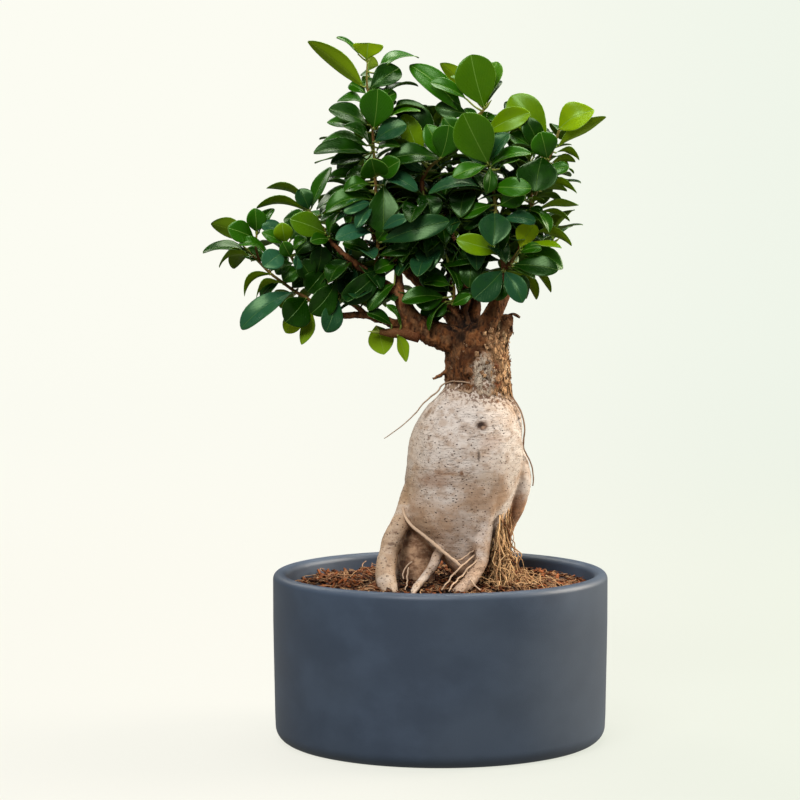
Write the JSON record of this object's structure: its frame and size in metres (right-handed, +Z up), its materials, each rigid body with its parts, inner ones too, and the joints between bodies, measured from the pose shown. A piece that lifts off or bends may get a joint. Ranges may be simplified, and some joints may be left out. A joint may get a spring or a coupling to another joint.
{
  "type": "ficus bonsai",
  "caption": "Small grafted ficus with a swollen pale rootstock and a spreading leafy crown, rooted in a round straight-sided ceramic pot.",
  "frame": {"origin": "centre of the pot's flat underside", "axes": "+Z up from the foot through the plant, +X to the right and -Y towards the front, as seen in the picture"},
  "size_m": [0.2399, 0.2, 0.417],
  "materials": {
    "ceramic": "satin",
    "mix": "matte",
    "skin": "matte",
    "bark": "matte",
    "root": "matte",
    "leaf": "satin"
  },
  "bodies": {
    "root": {"pot": "ceramic", "potting_mix": "mix", "rootstock": "skin", "trunk_and_limbs": "bark", "fine_roots": "root", "aerial_root_left": "root", "aerial_root_right": "root", "diagonal_root": "root", "leader_low": "leaf", "leader_mid": "leaf", "leader_upper": "leaf", "leader_tip": "leaf", "upper_left": "leaf", "far_left": "leaf", "far_left_upright": "leaf", "left_middle": "leaf", "under_limb": "leaf", "inner_left": "leaf", "centre_node": "leaf", "inner_top": "leaf", "right_leader_low": "leaf", "right_leader_top": "leaf", "right_low": "leaf", "right_stem_low": "leaf", "right_stem_top": "leaf", "inner_low": "leaf", "middle_left": "leaf", "middle_left_low": "leaf", "middle_centre": "leaf", "middle_centre_left": "leaf", "middle_right": "leaf", "middle_right_low": "leaf", "back_left_low": "leaf", "back_left_high": "leaf", "back_centre_left": "leaf", "back_centre": "leaf", "back_centre_low": "leaf", "back_high": "leaf", "back_right_low": "leaf", "back_right_high": "leaf"}
  },
  "joints": []
}
